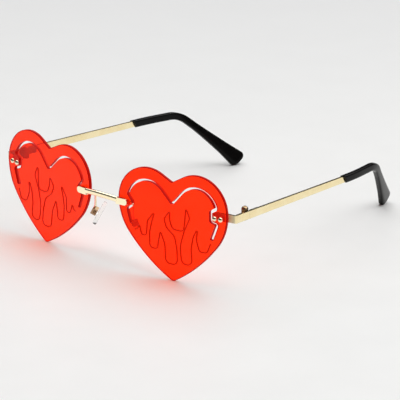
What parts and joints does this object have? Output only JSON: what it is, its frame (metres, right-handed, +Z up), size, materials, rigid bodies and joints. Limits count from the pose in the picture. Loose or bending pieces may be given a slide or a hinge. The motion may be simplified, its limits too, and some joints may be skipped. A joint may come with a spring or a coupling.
{
  "type": "rimless heart-shaped sunglasses",
  "caption": "Rimless sunglasses with red heart-shaped lenses pierced by a slotted heart line, slim pale gold bridge and folding temples, dark ear tips and rocking nose pads.",
  "frame": {"origin": "middle of the foot of the bounding box, on the table that the opened glasses stand on", "axes": "+X towards the wearer's left, +Y from the lenses back to the ear tips, +Z up"},
  "size_m": [0.14, 0.1559, 0.0509],
  "materials": {
    "red_lens": "clear red, polished",
    "pale_gold": "pale gold plate, polished",
    "black_tip": "glossy black",
    "clear_plastic": "clear, soft gloss"
  },
  "bodies": {
    "front": {"bridge": "pale_gold", "bridge_screws": "pale_gold", "lens_left": "red_lens", "lens_washers_left": "clear_plastic", "end_piece_left": "pale_gold", "end_screws_left": "pale_gold", "pad_arm_left": "pale_gold", "pad_box_left": "pale_gold", "pad_screw_left": "pale_gold", "front_hinge_left": "pale_gold", "hinge_screw_left": "pale_gold", "lens_right": "red_lens", "lens_washers_right": "clear_plastic", "end_piece_right": "pale_gold", "end_screws_right": "pale_gold", "pad_arm_right": "pale_gold", "pad_box_right": "pale_gold", "pad_screw_right": "pale_gold", "front_hinge_right": "pale_gold", "hinge_screw_right": "pale_gold"},
    "temple_left": {"temple_hinge_left": "pale_gold", "temple_bar_left": "pale_gold", "temple_tip_left": "black_tip"},
    "nose_pad_left": {"nose_pad_left": "clear_plastic"},
    "temple_right": {"temple_hinge_right": "pale_gold", "temple_bar_right": "pale_gold", "temple_tip_right": "black_tip"},
    "nose_pad_right": {"nose_pad_right": "clear_plastic"}
  },
  "joints": [
    {"name": "temple_fold_left", "type": "hinge", "parent": "front", "child": "temple_left", "pos_m": [0.06664, -0.05588, 0.03369], "axis": [0, 0.0382, 0.9993], "range_deg": [0, 85]},
    {"name": "temple_fold_right", "type": "hinge", "parent": "front", "child": "temple_right", "pos_m": [-0.06664, -0.05588, 0.03369], "axis": [0, -0.0382, -0.9993], "range_deg": [0, 76]},
    {"name": "pad_rock_left", "type": "hinge", "parent": "front", "child": "nose_pad_left", "pos_m": [0.01251, -0.06735, 0.01994], "axis": [-0.4286, -0.8752, -0.2242], "range_deg": [-10, 10]},
    {"name": "pad_rock_right", "type": "hinge", "parent": "front", "child": "nose_pad_right", "pos_m": [-0.01251, -0.06735, 0.01994], "axis": [0.4286, -0.8752, -0.2242], "range_deg": [-10, 10]}
  ]
}
